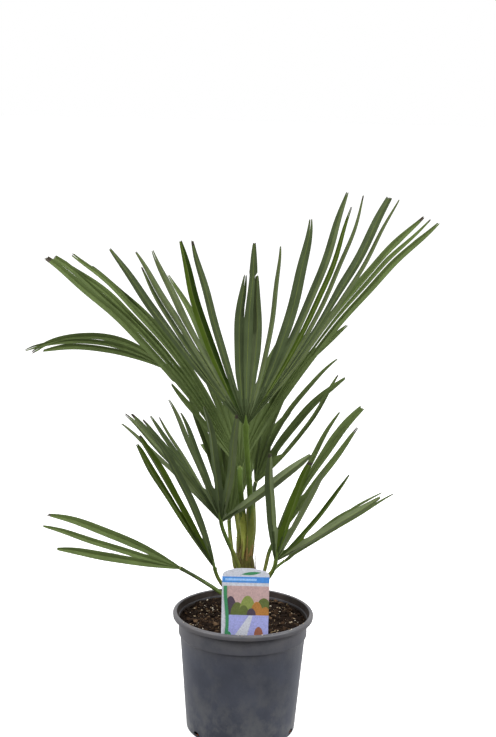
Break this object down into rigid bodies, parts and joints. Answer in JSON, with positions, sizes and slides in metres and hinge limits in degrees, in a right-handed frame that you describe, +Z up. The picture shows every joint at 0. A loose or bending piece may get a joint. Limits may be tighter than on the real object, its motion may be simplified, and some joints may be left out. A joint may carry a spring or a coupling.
{
  "type": "potted european fan palm",
  "caption": "Young fan palm with stiff palmate fronds on thin petioles, in a round tapered nursery pot with a plain picture label.",
  "frame": {"origin": "centre of the pot's flat underside", "axes": "+Z up, -Y towards the side shown in the picture with the label, +X to its right"},
  "size_m": [0.5478, 0.288, 0.7396],
  "materials": {
    "pot_plastic": "satin dark blue-grey moulded plastic, dusty at the rim and scuffed at the foot",
    "peat": "moist dark peat with white grains",
    "stem_fibre": "overlapping fibrous leaf bases, yellow-green to brown",
    "petiole_skin": "smooth green rind, browner at its base",
    "leaf": "stiff pleated leaf, grey-green bloom over dark green",
    "label_card": "printed semi-gloss plastic card"
  },
  "bodies": {
    "root": {"pot": "pot_plastic", "soil": "peat", "stem": "stem_fibre", "label": "label_card", "petiole_front_high": "petiole_skin", "frond_front_high": "leaf", "petiole_back_high": "petiole_skin", "frond_back_high": "leaf", "petiole_right_back": "petiole_skin", "frond_right_back": "leaf", "petiole_left_front": "petiole_skin", "frond_left_front": "leaf", "petiole_right_low": "petiole_skin", "frond_right_low": "leaf", "petiole_right_mid": "petiole_skin", "frond_right_mid": "leaf", "petiole_right_thin": "petiole_skin", "frond_right_thin": "leaf", "petiole_left_low": "petiole_skin", "frond_left_low": "leaf", "petiole_left_lowest": "petiole_skin", "frond_left_lowest": "leaf", "petiole_left_drooping": "petiole_skin", "frond_left_drooping": "leaf", "petiole_left_back": "petiole_skin", "frond_left_back": "leaf", "petiole_back_mid": "petiole_skin", "frond_back_mid": "leaf", "petiole_back_low": "petiole_skin", "frond_back_low": "leaf"}
  },
  "joints": []
}
